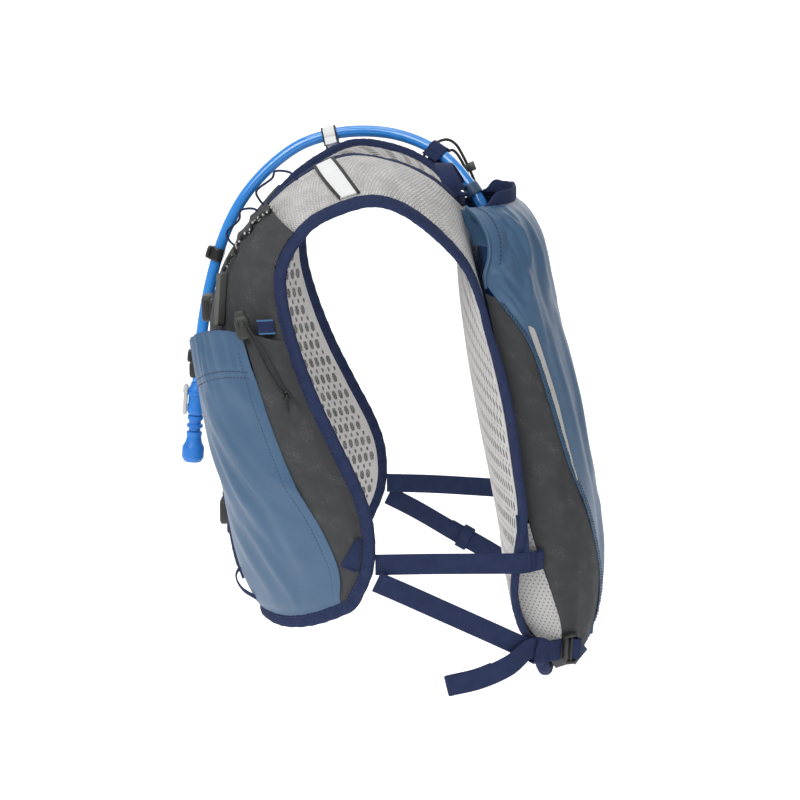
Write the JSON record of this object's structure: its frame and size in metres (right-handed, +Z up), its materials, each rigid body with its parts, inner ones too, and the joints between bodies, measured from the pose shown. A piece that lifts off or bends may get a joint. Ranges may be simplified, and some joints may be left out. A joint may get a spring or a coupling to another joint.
{
  "type": "running hydration vest",
  "caption": "Running hydration vest of padded mesh, with front pockets, a reservoir sleeve on the back, a drinking hose over the right shoulder, and webbing under the arms",
  "frame": {"origin": "midway between the two shoulder straps, at the height where they rest on the shoulders", "axes": "+Z up, -Y the way the wearer faces, +X to the wearer's left"},
  "size_m": [0.2888, 0.3459, 0.4268],
  "materials": {
    "mesh_white": "white spacer mesh",
    "binding_navy": "folded navy edge tape",
    "ripstop_blue": "thin slate-blue woven cloth",
    "stretch_grey": "charcoal stretch mesh",
    "webbing_navy": "woven navy webbing",
    "hose_blue": "glossy blue hose",
    "valve_blue": "satin blue silicone",
    "valve_grey": "light grey moulded plastic",
    "hard_black": "black moulded plastic",
    "hard_grey": "olive-grey moulded plastic",
    "cord_black": "black elastic cord",
    "band_white": "white coated band",
    "reservoir_blue": "blue film"
  },
  "bodies": {
    "vest": {"mesh_body": "mesh_white", "side_mesh_left": "mesh_white", "side_mesh_right": "mesh_white", "armhole_binding_left": "binding_navy", "armhole_binding_right": "binding_navy", "neck_binding": "binding_navy", "hem_binding": "binding_navy", "mouth_binding": "binding_navy", "pocket_panel_left": "ripstop_blue", "pocket_panel_right": "ripstop_blue", "reservoir_sleeve": "ripstop_blue", "hose_tab": "ripstop_blue", "pocket_gusset_left": "stretch_grey", "pocket_gusset_right": "stretch_grey", "upper_pocket_left": "stretch_grey", "upper_pocket_right": "stretch_grey", "sleeve_gusset_left": "stretch_grey", "sleeve_gusset_right": "stretch_grey", "hang_loop": "webbing_navy", "hose_loop_back": "webbing_navy", "toggle_tab_left": "webbing_navy", "toggle_tab_right": "webbing_navy", "upper_side_strap_left": "webbing_navy", "upper_side_strap_right": "webbing_navy", "lower_side_strap_left": "webbing_navy", "lower_side_strap_right": "webbing_navy", "buckle_webbing_left": "webbing_navy", "buckle_webbing_right": "webbing_navy", "strap_keeper_left": "webbing_navy", "strap_keeper_right": "webbing_navy", "strap_tail_left": "webbing_navy", "strap_tail_right": "webbing_navy", "sternum_strap_upper": "webbing_navy", "sternum_strap_lower": "webbing_navy", "lash_loop_upper": "webbing_navy", "lash_loop_lower": "webbing_navy", "drinking_hose": "hose_blue", "valve_housing": "valve_blue", "bite_tip": "valve_blue", "valve_neck": "valve_grey", "hose_clip_upper": "hard_black", "hose_clip_lower": "hard_black", "ladder_buckle_left": "hard_black", "ladder_buckle_right": "hard_black", "sternum_buckle_upper": "hard_black", "sternum_buckle_lower": "hard_black", "cord_lock": "hard_grey", "cord_toggle_left": "hard_grey", "cord_toggle_right": "hard_grey", "pull_tab": "hard_grey", "top_cord_outer": "cord_black", "top_cord_inner": "cord_black", "lash_cord": "cord_black", "drawcord_left": "cord_black", "drawcord_right": "cord_black", "hose_loop_shoulder": "band_white", "shoulder_band_left": "band_white", "reservoir": "reservoir_blue"},
    "lever": {"valve_lever": "valve_grey"}
  },
  "joints": [
    {"name": "valve_lever_turn", "type": "hinge", "parent": "vest", "child": "lever", "pos_m": [-0.06668, -0.14686, -0.19565], "axis": [-0.0014, -0.9968, 0.0795], "range_deg": [0, 90]}
  ]
}
